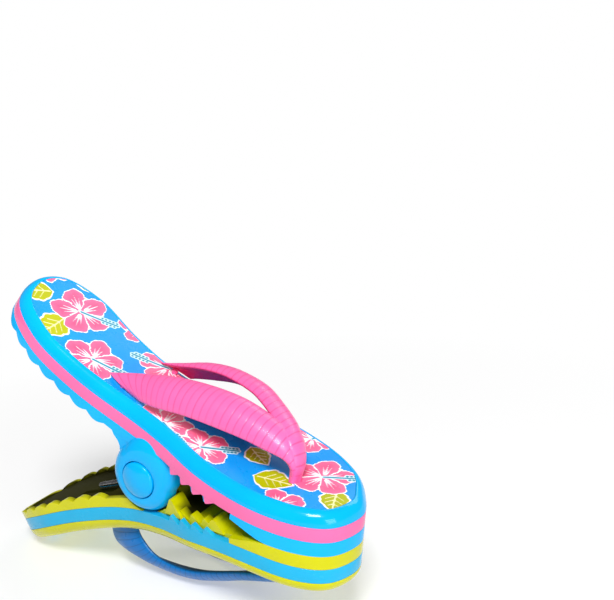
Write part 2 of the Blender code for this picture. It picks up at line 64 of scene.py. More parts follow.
OUTLINE = (
    (0, -8), (3.5, -16.5), (12, -20.8), (25, -21.6), (45, -19.3),
    (60, -15.6), (74, -14), (95, -14.8), (112, -14.4), (125, -9.8),
    (130, 0.5), (126, 10.6), (113, 15.8), (95, 14.4), (74, 13.2),
    (60, 15), (42, 19.6), (24, 16.4), (9, 7.8), (2, -1),
)
RIM_LINE = 8.1  # height of the footbed's underside above the parting plane, at the toe
RIM_CROWN = 3.8
INSOLE_SINK, INSOLE_THICK = 0.1, 0.9
STRIPE = 4.1
FLOOR = -5.8
WALL = 2.0
PAD_LENGTH = 24.0
JAW_START, JAW_RAMP, JAW_END = 19.0, 33.0, 60.0
TEETH = (36.0, 56.0, 4.6, 1.7)  # first, last, pitch and depth
RIDGES = ((30.5, 33.5, 2.8), (36.0, 38.2, 1.6))  # across the jaw: start, peak and height
SCALLOP_START, SCALLOP_PITCH, SCALLOP_DEPTH = 80.0, 6.5, 1.2
SKIRT_TAPER = 1.4
SLOT = (84.0, 98.0, 2.6)  # first, last and width
HINGE_X = -66.4
PIN_RADIUS, PIN_HOLE = 1.5, 1.6
INNER_EAR = (8.6, 11.4, 8.7)  # inner face, outer face and radius
BOSS_IN, BOSS_OUT = 11.8, 16.4
BUTTON_RADIUS, BUTTON_SEAT, BUTTON_TOP = 5.4, 14.6, 18.0
RETAINER_RADIUS, RETAINER_THICK = 3.6, 0.6
SLEEVE_RADIUS = 3.7
COIL_RADIUS, WIRE_RADIUS, COIL_TURNS, COIL_PITCH = 5.5, 0.9, 5, 2.1
LEG_ANGLE, LEG_LENGTH = 26.0, 25.0
STRAP_THICK = 1.9
STRAP_FULL_WIDTH = 10.0  # an arm this wide is arched in full
FAR_ARM_REACH = (55.0, 0.84)  # past this s, the far arm is shortened by this factor
# Strap stations: the centre's t and the share of the full thickness, then s, n and the distance from the
# centre, first of the arm's inner edge and then of its outer edge.
UPPER_STRAP = (
    (-7.0, 1.0, 20.6, 3.9, -0.5, 20.6, 3.9, 2.4),
    (-6.7, 1.0, 20.0, 9.0, -0.5, 20.4, 8.0, 3.2),
    (-5.6, 1.0, 22.4, 13.2, -0.5, 22.9, 10.4, 4.8),
    (-3.8, 1.0, 27.6, 15.6, -0.3, 28.6, 11.4, 7.2),
    (-1.8, 1.0, 35.5, 16.9, 0.6, 36.2, 12.0, 9.6),
    (0.2, 1.0, 45.0, 17.4, 2.4, 45.0, 11.5, 12.0),
    (1.2, 1.0, 57.0, 15.9, 4.2, 56.5, 9.6, 13.2),
    (1.2, 1.0, 69.0, 12.7, 5.4, 66.0, 6.8, 13.0),
    (1.2, 0.9, 79.5, 8.2, 6.8, 72.0, 5.0, 12.0),
    (1.2, 0.5, 87.5, 4.1, 8.8, 74.5, 4.1, 10.9),
)
LOWER_STRAP = (
    (-7.0, 1.0, 20.6, 3.9, -0.5, 20.6, 3.9, 2.4),
    (-6.7, 1.0, 20.0, 9.0, -0.5, 20.4, 8.0, 3.2),
    (-5.6, 1.0, 22.6, 12.6, -0.5, 23.0, 9.6, 4.8),
    (-3.8, 1.0, 28.3, 15.0, -0.3, 29.0, 10.6, 7.0),
    (-1.8, 1.0, 36.5, 16.8, 0.6, 37.0, 12.0, 9.4),
    (0.2, 1.0, 46.5, 19.0, 2.4, 46.0, 13.8, 11.6),
    (0.9, 1.0, 57.5, 20.2, 3.8, 54.5, 14.9, 12.4),
    (1.2, 1.0, 69.0, 18.9, 5.0, 62.5, 14.2, 12.4),
    (1.2, 1.0, 80.0, 15.2, 6.2, 68.8, 12.0, 12.0),
    (1.2, 0.9, 88.8, 10.2, 7.4, 73.0, 7.8, 11.4),
    (1.2, 0.5, 88.0, 4.1, 8.8, 74.5, 4.1, 10.9),
)
PEGS = ((20.4, -7.0, 1.7), (81.0, -8.2, 1.0), (76.84, 10.6, 1.0))  # s, t and radius

# --- shapes that are finer here, or only here ---
SPAN_STEPS = 12  # pieces of each span of the outline
BEND_STEP = 2.0
PRINT_GRID = 0.36
GAP = 0.04
EASE, HEEL_EASE = 0.07, 0.27  # how far the finer curves here stay inside the CAD's outline
HEEL_BLEND = (104, 126)
SOFT_EDGE = 0.16
WIDE = 30  # half the width of a cut that crosses the whole sole
BOSS_RADIUS = 10.7  # a little under the CAD's, so that the round boss clears the lower stripe
BOSS_LOBE, LOBE_RADIUS, LOBE_ANGLE = 4.8, 9.8, math.radians(58)  # the lobe's centre, radius and bearing
EDGE_RIDGES = ((49.2, 53.2, 57.0, 4.2), (33.6, 36.8, 40.2, 2.6))  # start, peak, end and height
WIRE_SIDES, COIL_STEPS, LEG_STEPS = 16, 48, 12
UPPER_STRAP_BULGE, LOWER_STRAP_BULGE = 0.24, 0.14
CROSSING, CROSSING_SPAN = 2.2, (23, 38)  # how far, and where, the far arm laps over the near one
ALONG, ACROSS = 380, 22  # the mesh rows of a strap arm
RIB_PITCH, GROOVE_WIDTH, GROOVE_DEPTH, GROOVE_SHADE = 2.2, 0.13, 0.07, 0.6
FAR_OFF = 50.0  # a distance from any print's edge that means none is near

MM = 0.001
UPPER, LOWER = 1, -1
hinge_place = Vector(frame["joints"][0]["pos_m"])
lean = Matrix.Rotation(TILT, 4, "Y")
clip = Matrix.Translation(hinge_place - lean @ Vector((HINGE_X * MM, 0, 0))) @ lean
to_world = clip @ Matrix.Scale(MM, 4)


# --- the bend ---
def spine(s):
    """Arrays of x, z and slope of the bent rim line at arc length s."""
    s = np.asarray(s, float)
    x, z, slope = np.zeros_like(s), np.zeros_like(s), np.zeros_like(s)
    start = 0.0
    for i, (length, turn) in enumerate(SPINE_ARCS):
        run = s - start
        if i:
            run = np.maximum(run, 0)
        if i < len(SPINE_ARCS) - 1:
            run = np.minimum(run, length)
        turned = math.radians(turn) * run / length
        chord = run * np.sinc(turned / (2 * math.pi))
        x = x - chord * np.cos(slope + turned / 2)
        z = z + chord * np.sin(slope + turned / 2)
        slope = slope + turned
        start += length
    return x, z, slope


def bent(points):
    """Flat (s, t, n) points in the clip frame, on the upper sole."""
    points = np.asarray(points, float).reshape(-1, 3)
    x, z, slope = spine(points[:, 0])
    n = points[:, 2]
    return np.stack([x + n * np.sin(slope), points[:, 1], RIM_LINE + z + n * np.cos(slope)], 1)


def outline(inset):
    """The sole's outline as (s, t) points, moved inwards by a number or by a rule of the place."""
    knots = [Vector(point) for point in OUTLINE]
    points = []
    for i, knot in enumerate(knots):
        before, after, beyond = knots[i - 1], knots[(i + 1) % len(knots)], knots[(i + 2) % len(knots)]
        points += interpolate_bezier(
            knot, knot + (after - before) / 6, after - (beyond - knot) / 6, after, SPAN_STEPS + 1
        )[:-1]
    moved = []
    for i, point in enumerate(points):
        along = (points[(i + 1) % len(points)] - points[i - 1]).normalized()
        push = EASE + float(smoothstep(*HEEL_BLEND, point.x)) * HEEL_EASE
        push += inset(point.x, point.y) if callable(inset) else inset
        moved.append((point.x - along.y * push, point.y + along.x * push))
    return moved


def smoothstep(low, high, value):
    share = np.clip((np.asarray(value, float) - low) / (high - low), 0, 1)
    return share * share * (3 - 2 * share)


def insole_inset(s, t):
    """The rim is widest at the toe, and narrow along the far side."""
    far = float(smoothstep(-6, 12, t))
    heel = float(smoothstep(70, 112, s))
    return 3.25 - 0.75 * heel * (1 - far) - 1.25 * far


# --- mesh helpers ---
def linked(name, data):
    """A new object in the scene."""
    obj = bpy.data.objects.new(name, data)
    bpy.context.scene.collection.objects.link(obj)
    return obj


def solid(name, bm):
    """Turns a bmesh into an object, and uses it up."""
    bm.normal_update()
    bmesh.ops.recalc_face_normals(bm, faces=bm.faces)
    mesh = bpy.data.meshes.new(name)
    bm.to_mesh(mesh)
    bm.free()
    return linked(name, mesh)


def prism(points, low, high, axis="Z"):
    """A flat polygon pushed along an axis: (s, t) points along n, or (s, n) points along t."""
    bm = bmesh.new()
    if axis == "Z":
        base = [bm.verts.new((a, b, low)) for a, b in points]
        push = Vector((0, 0, high - low))
    else:
        base = [bm.verts.new((a, low, b)) for a, b in points]
        push = Vector((0, high - low, 0))
    raised = bmesh.ops.extrude_face_region(bm, geom=[bm.faces.new(base)])
    verts = [item for item in raised["geom"] if isinstance(item, bmesh.types.BMVert)]
    bmesh.ops.translate(bm, vec=push, verts=verts)
    return bm


def slab(inset, low, high, soft=0.0):
    """A flat plate on the outline. With soft, its long edges are rounded by that much."""
    if not soft:
        return prism(outline(inset), low, high)
    corner = [(soft * (1 - math.sin(a)), soft * (1 - math.cos(a))) for a in (0, 0.39, 0.79, 1.18, 1.57)]
    rings = [(inset + edge, low + rise) for edge, rise in corner]
    rings += [(inset + edge, high - rise) for edge, rise in corner[::-1]]
    return loft(rings)


def loft(rings):
    """A closed skin through the outline at each (inset, n), with flat ends."""
    bm = bmesh.new()
    skin(bm, [[bm.verts.new((s, t, height)) for s, t in outline(inset)] for inset, height in rings])
    return bm


def skin(bm, loops):
    """Joins each loop of vertices to the next, and closes both ends."""
    for first, second in zip(loops, loops[1:]):
        for k in range(len(first)):
            j = (k + 1) % len(first)
            bm.faces.new((first[k], first[j], second[j], second[k]))
    bm.faces.new(loops[0])
    bm.faces.new(loops[-1])


def slice_up(bm, axis, places):
    """Cuts edges into the faces at each place along an axis, and keeps everything."""
    normal = Vector((axis == 0, axis == 1, axis == 2))
    for place in places:
        bmesh.ops.bisect_plane(
            bm, geom=bm.verts[:] + bm.edges[:] + bm.faces[:], plane_co=normal * place,
            plane_no=normal, dist=1e-4,
        )


def keep_between(bm, first, last):
    """Cuts off what is outside two places in s, and closes the cuts."""
    for place, side in ((first, -1), (last, 1)):
        cut = bmesh.ops.bisect_plane(
            bm, geom=bm.verts[:] + bm.edges[:] + bm.faces[:], plane_co=(place, 0, 0),
            plane_no=(side, 0, 0), clear_outer=True,
        )
        edges = [item for item in cut["geom_cut"] if isinstance(item, bmesh.types.BMEdge)]
        bmesh.ops.holes_fill(bm, edges=edges)
    return bm


def post(s, t, radius, low, high, segments=40):
    """An upright cylinder."""
    bm = bmesh.new()
    bmesh.ops.create_cone(
        bm, cap_ends=True, segments=segments, radius1=radius, radius2=radius, depth=high - low,
        matrix=Matrix.Translation((s, t, (low + high) / 2)),
    )
    return bm


def combine(obj, operation, other):
    """One Boolean, applied at once. The other one, an object or a bmesh, is used up."""
    if isinstance(other, bmesh.types.BMesh):
        other = solid("other", other)
    modifier = obj.modifiers.new("Boolean", "BOOLEAN")
    modifier.operation = operation
    modifier.solver = "EXACT"
    modifier.object = other
    graph = bpy.context.evaluated_depsgraph_get()
    mesh = bpy.data.meshes.new_from_object(obj.evaluated_get(graph))
    obj.modifiers.clear()
    old, obj.data = obj.data, mesh
    bpy.data.meshes.remove(old)
    data = other.data
    bpy.data.objects.remove(other)
    bpy.data.meshes.remove(data)


def bend(obj, half):
    """Cuts a flat piece across in many places and bends it along the spine."""
    bm = bmesh.new()
    bm.from_mesh(obj.data)
    ends = [vert.co.x for vert in bm.verts]
    places = [i * BEND_STEP for i in range(1, int(SOLE_LENGTH / BEND_STEP))]
    slice_up(bm, 0, [place for place in places if min(ends) < place < max(ends)])
    bmesh.ops.remove_doubles(bm, verts=bm.verts, dist=0.002)
    bmesh.ops.triangulate(bm, faces=[face for face in bm.faces if len(face.verts) > 4])
    place_vertices(bm, half)
    bm.to_mesh(obj.data)
    bm.free()


def place_vertices(bm, half):
    """Moves flat vertices to their bent places. The lower half is the upper one mirrored in n."""
    flat = np.array([vert.co for vert in bm.verts])
    for vert, point in zip(bm.verts, bent(flat)):
        vert.co = (point[0], point[1], half * point[2])
    bm.normal_update()
    bmesh.ops.recalc_face_normals(bm, faces=bm.faces)


def to_frame(obj, sharp):
    """Takes a piece from clip millimetres to the row frame, and shades it smooth but for its creases."""
    obj.data.transform(to_world)
    bm = bmesh.new()
    bm.from_mesh(obj.data)
    bmesh.ops.dissolve_degenerate(bm, edges=bm.edges, dist=1e-7)
    limit = math.radians(sharp)
    for edge in bm.edges:
        edge.smooth = len(edge.link_faces) == 2 and edge.calc_face_angle(0) < limit
    for face in bm.faces:
        face.smooth = True
    bm.to_mesh(obj.data)
    bm.free()


def store(obj, key, values):
    """One number for each vertex, for the material to read."""
    obj.data.attributes.new(key, "FLOAT", "POINT").data.foreach_set("value", values.astype(np.float32))


def turned(name, profile, segments=96, side=1):
    """A solid turned about the hinge axis from a closed (radius, y) profile."""
    bm = bmesh.new()
    ring = [bm.verts.new((radius, side * y, 0)) for radius, y in profile]
    pairs = [ends for ends in zip(ring[-1:] + ring, ring) if max(end.co.x for end in ends) > 1e-6]
    edges = [bm.edges.new(ends) for ends in pairs]
    bmesh.ops.spin(
        bm, geom=ring + edges, cent=(0, 0, 0), axis=(0, 1, 0), angle=2 * math.pi, steps=segments,
        use_merge=True,
    )
    bmesh.ops.remove_doubles(bm, verts=bm.verts, dist=1e-4)
    bmesh.ops.translate(bm, vec=(HINGE_X, 0, 0), verts=bm.verts)
    return solid(name, bm)


def arc(centre, radii, start, end, steps):
    points = []
    for i in range(steps + 1):
        angle = math.radians(start + (end - start) * i / steps)
        points.append((centre[0] + radii[0] * math.cos(angle), centre[1] + radii[1] * math.sin(angle)))
    return points


# --- materials ---
def linear(rgb):
    """A screen colour, 0 to 255, as linear light."""
    shares = (value / 255 for value in rgb)
    return tuple(c / 12.92 if c <= 0.04045 else ((c + 0.055) / 1.055) ** 2.4 for c in shares)


class Nodes:
    """A short way to wire one material."""

    def __init__(self, name, roughness, coat=0.0, metallic=0.0, specular=0.5):
        self.material = bpy.data.materials.new(name)
        self.material.use_nodes = True
        self.tree = self.material.node_tree
        self.shader = self.tree.nodes["Principled BSDF"]
        polish = {"Roughness": roughness, "Metallic": metallic, "Specular IOR Level": specular}
        self.fill(self.shader, {**polish, "Coat Weight": coat, "Coat Roughness": 0.06})

    def add(self, kind, values=None):
        node = self.tree.nodes.new("ShaderNode" + kind)
        self.fill(node, values or {})
        return node

    def fill(self, node, values):
        for key, value in values.items():
            self.put(value, node.inputs[key])

    def put(self, source, target):
        """Links a socket, or sets a number or colour."""
        if hasattr(source, "is_output"):
            self.tree.links.new(source, target)
        elif isinstance(source, tuple) and len(source) == 3:
            target.default_value = (*source, 1.0)
        else:
            target.default_value = source

    def math(self, operation, a, b, clamp=False):
        node = self.add("Math", {0: a, 1: b})
        node.operation, node.use_clamp = operation, clamp
        return node.outputs[0]

    def ramp(self, value, low, high, to_low=0.0, to_high=1.0):
        span = {"From Min": low, "From Max": high, "To Min": to_low, "To Max": to_high}
        return self.add("MapRange", {"Value": value, **span}).outputs["Result"]

    def mix(self, share, a, b):
        node = self.add("Mix")
        node.data_type = "RGBA"  # its colour sockets are inputs 6 and 7 and output 2
        self.fill(node, {"Factor": share, 6: a, 7: b})
        return node.outputs[2]

    def attribute(self, name):
        node = self.add("Attribute")
        node.attribute_name = name
        return node.outputs["Fac"]

    def noise(self, scale, detail=3.0):
        place = self.add("TexCoord").outputs["Object"]
        values = {"Vector": place, "Scale": scale, "Detail": detail, "Roughness": 0.55}
        return self.add("TexNoise", values).outputs["Fac"]

    def bump(self, height, strength, distance):
        node = self.add("Bump", {"Strength": strength, "Distance": distance, "Height": height})
        self.put(node.outputs["Normal"], self.shader.inputs["Normal"])

    def colour(self, value):
        self.put(value, self.shader.inputs["Base Color"])

    def roughen(self, low, high, scale):
        self.put(self.ramp(self.noise(scale, 4.0), 0.3, 0.7, low, high), self.shader.inputs["Roughness"])


MOULDED_COAT = 0.3


def moulded(name, rgb, gloss=0.2, depth=0.0):
    """Glossy moulded plastic: faint flow marks in the colour, uneven polish and a very fine texture.
    depth paints shade into it where the piece's inside attribute says that it is down in the hollow: a
    near-black colour and a duller polish."""
    nodes = Nodes(name, gloss, coat=MOULDED_COAT, specular=0.1)
    base = linear(rgb)
    darker = tuple(value * 0.88 for value in base)
    flow = nodes.ramp(nodes.noise(38.0, 2.0), 0.35, 0.65)
    colour = nodes.mix(flow, darker, base)
    rough = nodes.ramp(nodes.noise(160.0, 4.0), 0.3, 0.7, gloss * 0.75, gloss * 1.5)
    if depth:
        # painted shade: the colour goes near black down in the hollow, where the shadow falls
        down = nodes.math("MULTIPLY", nodes.attribute("inside"), depth)
        colour = nodes.mix(down, colour, tuple(v * 0.012 for v in base))
        rough = nodes.math("ADD", rough, down, clamp=True)
        nodes.put(nodes.ramp(down, 0.0, 1.0, MOULDED_COAT, 0.0), nodes.shader.inputs["Coat Weight"])
    nodes.colour(colour)
    nodes.put(rough, nodes.shader.inputs["Roughness"])
    nodes.bump(nodes.noise(900.0, 2.0), 0.05, 0.0002)
    return nodes.material


def steel(name):
    """Drawn steel, with cloudy grey patches; its greys sit darker than bare steel, as painted shade for the
    wire down in the hollow.
    """
    nodes = Nodes(name, 0.3, metallic=1.0)
    cloud = nodes.ramp(nodes.noise(600.0), 0.3, 0.7)
    # steel's own grey, darkened as painted shade for the dark hollow
    nodes.colour(nodes.mix(cloud, (0.2, 0.2, 0.21), (0.36, 0.36, 0.37)))
    nodes.roughen(0.2, 0.42, 900.0)
    nodes.bump(nodes.noise(2500.0, 2.0), 0.04, 0.0001)
    return nodes.material


WHITE = linear((250, 250, 250))
PRINT_EDGE = 0.07  # half the width over which a print's edge fades, in millimetres


def sheet(name, dark, light):
    """A satin sheet in two close shades, ready to be printed on."""
    nodes = Nodes(name, 0.3, specular=0.2)
    nodes.roughen(0.2, 0.36, 140.0)
    flow = nodes.ramp(nodes.noise(45.0, 2.0), 0.3, 0.7)
    return nodes, flow, nodes.mix(flow, linear(dark), linear(light))


def print_on(nodes, colour, ink):
    """The print's colour, and the slight step at the edge of its ink."""
    nodes.colour(colour)
    nodes.bump(nodes.math("ADD", nodes.math("MULTIPLY", ink, 0.6), nodes.noise(1100.0, 2.0)), 0.08, 0.0001)
    return nodes.material


def printed_flowers(name):
    """The upper insole: pink flowers and lime leaves, outlined in white, printed on blue."""
    nodes, flow, colour = sheet(name, (6, 142, 230), (16, 156, 240))

    def inside(attribute, reach):
        return nodes.ramp(nodes.attribute(attribute), reach + PRINT_EDGE, reach - PRINT_EDGE)

    lime = nodes.mix(flow, linear((164, 170, 0)), linear((188, 190, 4)))
    colour = nodes.mix(inside("leaf", WHITE_LINE), colour, WHITE)
    colour = nodes.mix(inside("leaf", 0.0), colour, lime)
    veins = nodes.math("MULTIPLY", inside("leaf", 0.0), inside("leaf_vein", 0.10))
    colour = nodes.mix(veins, colour, linear((240, 240, 180)))
    heart = nodes.ramp(nodes.attribute("petal"), -3.4, 0.0)
    pink = nodes.mix(heart, linear((255, 86, 134)), linear((255, 108, 152)))
    colour = nodes.mix(inside("petal", WHITE_LINE), colour, WHITE)
    colour = nodes.mix(inside("petal", 0.0), colour, pink)
    streaks = nodes.math("MULTIPLY", inside("petal", 0.0), inside("petal_vein", 0.06))
    colour = nodes.mix(streaks, colour, linear((255, 238, 242)))
    colour = nodes.mix(inside("stamen", 0.36), colour, linear((205, 236, 244)))
    colour = nodes.mix(inside("stamen", 0.0), colour, linear((28, 140, 168)))
    return print_on(nodes, colour, nodes.ramp(nodes.attribute("petal"), 0.6, 0.4))


def printed_rings(name):
    """The lower insole: open light-blue rings printed on yellow."""
    nodes, _, colour = sheet(name, (212, 214, 6), (228, 228, 14))
    ring = nodes.ramp(nodes.attribute("ring"), PRINT_EDGE, -PRINT_EDGE)
    return print_on(nodes, nodes.mix(ring, colour, linear((84, 198, 238))), ring)


def banded(name, rgb, shade):
    """The straps: satin plastic, painted a little darker in its grooves and on its underside, as shade."""
    nodes = Nodes(name, 0.34, coat=0.05, specular=0.3)
    base = linear(rgb)
    flow = nodes.ramp(nodes.noise(60.0, 3.0), 0.3, 0.7)
    colour = nodes.mix(flow, tuple(v * 0.93 for v in base), base)
    # painted shade: the groove attribute mixes in the shade colour in the grooves and on the underside
    colour = nodes.mix(nodes.attribute("groove"), colour, linear(shade))
    nodes.colour(colour)
    nodes.roughen(0.26, 0.44, 220.0)
    nodes.bump(nodes.noise(1400.0, 2.0), 0.07, 0.00015)
    return nodes.material


# --- pieces of one half ---
def drill(obj, low, high):
    """The holes for the strap's pegs."""
    for s, t, radius in PEGS:
        combine(obj, "DIFFERENCE", post(s, t, radius + 0.1, low, high))


def footbed(name, half):
    """The rim, rounded over from its outer wall to the edge of the insole's recess."""
    start = 0.25
    rings = [(0.16, GAP / 2), (0.05, GAP / 2 + 0.05), (0.0, GAP / 2 + 0.16), (0.0, start)]
    for i in range(1, 13):
        angle = math.pi / 2 * i / 12
        share, height = 1 - math.cos(angle), start + (RIM_CROWN - start) * math.sin(angle) ** 1.2
        rings.append((lambda s, t, share=share: share * (insole_inset(s, t) - 0.12), height))
    for more, height in ((0.0, RIM_CROWN - 0.05), (0.05, RIM_CROWN - 0.2), (0.07, RIM_CROWN - 1.1)):
        rings.append((lambda s, t, more=more: insole_inset(s, t) + more, height))
    obj = solid(name, loft(rings))
    drill(obj, -3, 6)
    bend(obj, half)
    return obj


def insole(name, half, paint):
    """The printed sheet, cut finely so that its print's edges are crisp."""
    top = RIM_CROWN - INSOLE_SINK
    points = outline(lambda s, t: insole_inset(s, t) + 0.11)
    obj = solid(name, prism(points, top - INSOLE_THICK, top))
    drill(obj, -3, 6)
    bm = bmesh.new()
    bm.from_mesh(obj.data)
    slice_up(bm, 0, np.arange(2.0, 129.0, PRINT_GRID))
    slice_up(bm, 1, np.arange(-19.5, 18.5, PRINT_GRID))
    bmesh.ops.triangulate(bm, faces=[face for face in bm.faces if len(face.verts) > 4])
    flat = np.array([vert.co for vert in bm.verts])
    place_vertices(bm, half)
    bm.to_mesh(obj.data)
    bm.free()
    for key, values in paint(flat[:, 0], flat[:, 1]).items():
        store(obj, key, values)
    return obj


def tooth_row(first, last, pitch, root, tip):
    """Saw teeth right across the sole."""
    bm = bmesh.new()
    for i in range(int((last - first) / pitch)):
        s = first + i * pitch
        points = [(s, root), (s + pitch * 0.96, root), (s + pitch * 0.76, tip + 0.1), (s + pitch * 0.7, tip)]
        points.append((s + pitch * 0.63, tip + 0.12))
        tooth = prism(points, -WIDE, WIDE, axis="Y")
        mesh = bpy.data.meshes.new("tooth")
        tooth.to_mesh(mesh)
        tooth.free()
        bm.from_mesh(mesh)
        bpy.data.meshes.remove(mesh)
    return bm


def edge_band(outer, inner, first, last, low, high):
    """The band between two insets of the outline, from one place in s to another."""
    band = solid("band", keep_between(slab(outer, low, high), first, last))
    combine(band, "DIFFERENCE", slab(inner, low - 1, high + 1))
    return band


def edge_teeth(outer, inner, shift, root, tip):
    """A row of teeth, cut down to a band along the sole's edge."""
    first, last, pitch = TEETH[:3]
    row = solid("teeth", tooth_row(first + shift, last + shift, pitch, root, tip))
    combine(row, "INTERSECT", edge_band(outer, inner, 30, 62, tip - 1, root + 1))
    return row


def midsole(name, half):
    """The coloured stripe, with teeth along its edge in the jaw."""
    obj = solid(name, slab(0.0, -STRIPE + GAP / 2, -GAP / 2, SOFT_EDGE))
    combine(obj, "UNION", edge_teeth(0.05, 1.5, 0.0, -STRIPE + 0.5, -STRIPE - TEETH[3]))
    drill(obj, -2.6, 1)
    bend(obj, half)
    return obj


def lower_edge():
    """The line in (s, n) that ends the body: the pad, the jaw's opening and the scalloped handle."""
    deep, open_edge = -RIM_LINE + GAP / 2, FLOOR + 0.25
    points = [(-6, deep)]
    for i in range(17):
        share = i / 16
        rise = share * share * (3 - 2 * share)
        points.append((JAW_START + share * (JAW_RAMP - JAW_START), deep + rise * (open_edge - deep)))
    points += [(JAW_END - 3, open_edge), (JAW_END - 2.4, open_edge - 0.3)]
    points += [(JAW_END - 0.5, deep + 0.3), (JAW_END, deep)]
    steps = 12
    count = round((SOLE_LENGTH - SCALLOP_START) / SCALLOP_PITCH * steps)
    for i in range(count + 2):
        s = SCALLOP_START + i * SCALLOP_PITCH / steps
        scallop = SCALLOP_DEPTH * (1 - abs(math.sin(math.pi * i / steps)))
        taper = SKIRT_TAPER * (s - SCALLOP_START) / (SOLE_LENGTH - SCALLOP_START)
        points.append((s, min(deep + scallop + taper, FLOOR - 0.08)))
    points.append((SOLE_LENGTH + 6, deep + SKIRT_TAPER))
    return points


def body_shell(name, half):
    """The base moulding: toe pad, jaw floor with its ridges and teeth, and the hollow handle."""
    obj = solid(name, slab(0.0, -RIM_LINE - 3, -STRIPE - GAP / 2, SOFT_EDGE))
    under = [(SOLE_LENGTH + 6, -20), (-6, -20)] + lower_edge()
    combine(obj, "DIFFERENCE", prism(under, -WIDE, WIDE, axis="Y"))
    hollow = solid("hollow", slab(WALL, -20, FLOOR))
    combine(hollow, "DIFFERENCE", post(0, -3, PAD_LENGTH, -21, 0, 160))
    combine(obj, "DIFFERENCE", hollow)
    combine(obj, "DIFFERENCE", edge_band(-2, 1.8, 31, 62, -12, -STRIPE + 1))
    combine(obj, "UNION", edge_teeth(1.85, 4.5, 1.6, FLOOR + 0.6, FLOOR - 1.5))
    for i, (start, peak, height) in enumerate(RIDGES):
        points = [(start, FLOOR + 0.6), (start + 0.6, FLOOR - height + 0.25), (start + 0.9, FLOOR - height)]
        points += [(peak, FLOOR - height * 0.8), (peak + 0.35, FLOOR - height * 0.7)]
        points.append((peak + 2.2, FLOOR + 0.6))
        combine(obj, "UNION", prism(points, -14.5 + i, 11.5 - i, axis="Y"))
    if half == LOWER:
        for start, peak, end, height in EDGE_RIDGES:
            points = [(start, FLOOR + 0.8), (peak - 0.5, FLOOR - height + 0.3), (peak, FLOOR - height)]
            points += [(peak + 0.7, FLOOR - height + 0.1), (end, FLOOR + 0.8)]
            ridge = solid("edge_ridge", prism(points, -WIDE, 0, axis="Y"))
            combine(ridge, "INTERSECT", edge_band(1.2, 6.5, 28, 62, FLOOR - 8, FLOOR + 2))
            combine(obj, "UNION", ridge)
    wall = [(55.0, FLOOR + 0.6), (57.1, FLOOR - 3.4), (57.4, FLOOR - 3.6), (58.4, FLOOR - 3.6)]
    wall += [(58.7, FLOOR - 3.3), (59.4, FLOOR + 0.6)]
    combine(obj, "UNION", prism(wall, -8.2, 8.2, axis="Y"))
    first, last, width = SLOT
    low, high = half * COIL_RADIUS - width / 2, half * COIL_RADIUS + width / 2
    combine(obj, "DIFFERENCE", prism(((first, low), (last, low), (last, high), (first, high)), -9, 0))
    bend(obj, half)
    return obj


# --- the hinge ---
def web(half, span, first, last, foot):
    """The neck that joins an ear to the sole's floor, from one place in s to another."""
    roots = bent([(first + (last - first) * i / 12, 0, FLOOR + 0.9) for i in range(13)])
    flare = bent([(last - 3, 0, -RIM_LINE)])[0]
    points = [(x, z) for x, _, z in roots]
    # The rear side sweeps from the handle's wall to the ear in one hollow curve.
    start, end = Vector((flare[0], flare[2])), Vector((HINGE_X - foot, 5))
    for i in range(9):
        share = i / 8
        pull = math.sin(math.pi * share) * 0.16 * (end - start).length
        point = start.lerp(end, share)
        points.append((point.x + pull, point.y + pull * 0.2))
    points += [(HINGE_X - foot, 2), (HINGE_X + foot, 2), (HINGE_X + foot, 5)]
    return solid("web", prism([(x, half * z) for x, z in points], *sorted(span), axis="Y"))


def stretch(ear, start):
    """Grows the part of a boss that is further from the hinge than start out to the lobe's circle."""
    for vert in ear.data.vertices:
        x, z = vert.co.x - HINGE_X, vert.co.z
        reach = math.hypot(x, z)
        if reach > start:
            turn = math.atan2(z, x) - LOBE_ANGLE
            room = max(0.0, LOBE_RADIUS**2 - (BOSS_LOBE * math.sin(turn)) ** 2)
            more = max(0.0, BOSS_LOBE * math.cos(turn) + math.sqrt(room) - BOSS_RADIUS)
            grow = 1 + more * (reach - start) / (BOSS_RADIUS - start) / reach
            vert.co.x, vert.co.z = HINGE_X + x * grow, z * grow


def add_ear(body, ear, half, side, span, first, last, foot, clear):
    """Joins a turned ear and its neck to the body. clear is the radius kept open for the cap or pin."""
    joint = web(half, (side * (span[0] + 0.05), side * span[1]), first, last, foot)
    combine(joint, "DIFFERENCE", turned("bore", [(0, 0), (clear, 0), (clear, 40), (0, 40)], side=side))
    combine(ear, "UNION", joint)
    combine(body, "UNION", ear)


def add_bosses(body):
    """The upper half's round bosses, each with a seat for its button."""
    low, high, radius = BOSS_IN, BOSS_OUT, BOSS_RADIUS
    seat = BUTTON_RADIUS + 0.16
    profile = [(PIN_HOLE, low), (radius - 0.3, low), (radius, low + 0.3)]
    profile += arc((6.6, 12.2), (radius - 6.6, high - 12.2), 0, 88, 18)
    profile += [(seat + 0.55, high), (seat + 0.18, high - 0.12), (seat, high - 0.45)]
    profile += [(seat, BUTTON_SEAT - 0.2), (PIN_HOLE, BUTTON_SEAT - 0.2)]
    for side in (-1, 1):
        boss = turned("ear", profile, side=side)
        stretch(boss, seat + 0.8)
        add_ear(body, boss, UPPER, side, (low, 13.9), 60.5, 79, 8.8, seat)


def add_inner_ears(body):
    """The lower half's ears, inside the bosses, and the reliefs that the bosses turn in."""
    low, high, radius = INNER_EAR
    profile = [(PIN_HOLE, low), (radius - 0.3, low), (radius, low + 0.3), (radius, high - 0.3)]
    profile += [(radius - 0.3, high), (PIN_HOLE, high)]
    near, clear = BOSS_IN - 0.25, BOSS_RADIUS + 0.35
    for side in (-1, 1):
        reach = [(0, near), (clear, near), (clear, 40), (0, 40)]
        combine(body, "DIFFERENCE", turned("relief", reach, side=side))
        ear = turned("ear", profile, side=side)
        add_ear(body, ear, LOWER, side, (low, high - 0.05), 60, 77, 8.4, 4.0)


